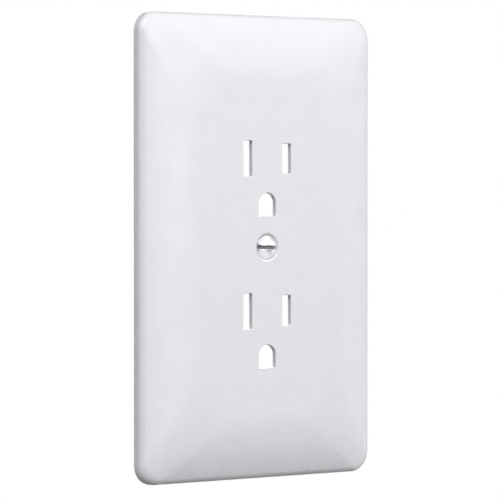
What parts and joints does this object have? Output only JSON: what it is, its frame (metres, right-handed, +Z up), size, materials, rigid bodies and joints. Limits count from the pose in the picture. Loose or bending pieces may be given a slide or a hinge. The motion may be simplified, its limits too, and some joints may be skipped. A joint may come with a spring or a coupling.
{
  "type": "duplex outlet wall plate cover",
  "caption": "Domed plastic wall plate that covers a duplex outlet, with plug openings in its flat middle, and a captive slotted screw that fastens it to the outlet's strap.",
  "frame": {"origin": "where the fixing screw's axis meets the wall plane", "axes": "+X to the right seen from the front, +Y into the wall along the screw, +Z up"},
  "size_m": [0.0748, 0.02, 0.119],
  "materials": {
    "white_plastic": "fine texture, low sheen",
    "plated_steel": "bright plated",
    "natural_nylon": "natural, slightly translucent"
  },
  "bodies": {
    "cover": {"cover_plate": "white_plastic"},
    "retainer": {"screw_retainer": "natural_nylon"},
    "screw": {"cover_screw": "plated_steel"}
  },
  "joints": [
    {"name": "screw_draw", "type": "slide", "parent": "cover", "child": "retainer", "axis": [0, -1, 0], "range_m": [0, 0.002]},
    {"name": "screw_turn", "type": "hinge", "parent": "retainer", "child": "screw", "pos_m": [0, 0, 0], "axis": [0, 1, 0], "continuous": true}
  ]
}
